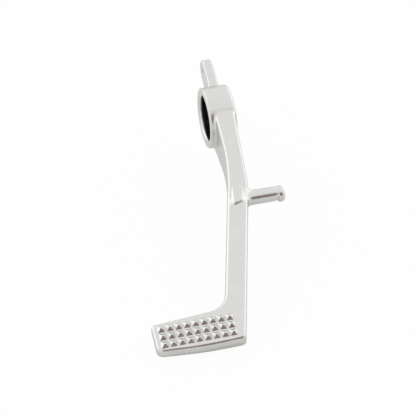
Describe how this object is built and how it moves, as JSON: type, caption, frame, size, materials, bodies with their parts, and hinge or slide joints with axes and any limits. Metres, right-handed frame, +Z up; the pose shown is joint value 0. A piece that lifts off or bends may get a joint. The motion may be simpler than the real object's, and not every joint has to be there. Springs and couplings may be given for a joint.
{
  "type": "rear brake pedal",
  "caption": "One-piece cast motorbike rear brake pedal with a bored pivot boss, push-rod ear, splayed tapering arm, spring peg, stop lug and a foot pad with pyramid grip teeth.",
  "frame": {"origin": "middle of the pivot bore, on its axis", "axes": "+X along the pivot axis to the inboard side, -Y forward to the foot pad, +Z up"},
  "size_m": [0.0763, 0.1511, 0.0446],
  "materials": {
    "cast_aluminium": "blasted, satin"
  },
  "bodies": {
    "root": {"brake_pedal": "cast_aluminium"}
  },
  "joints": []
}
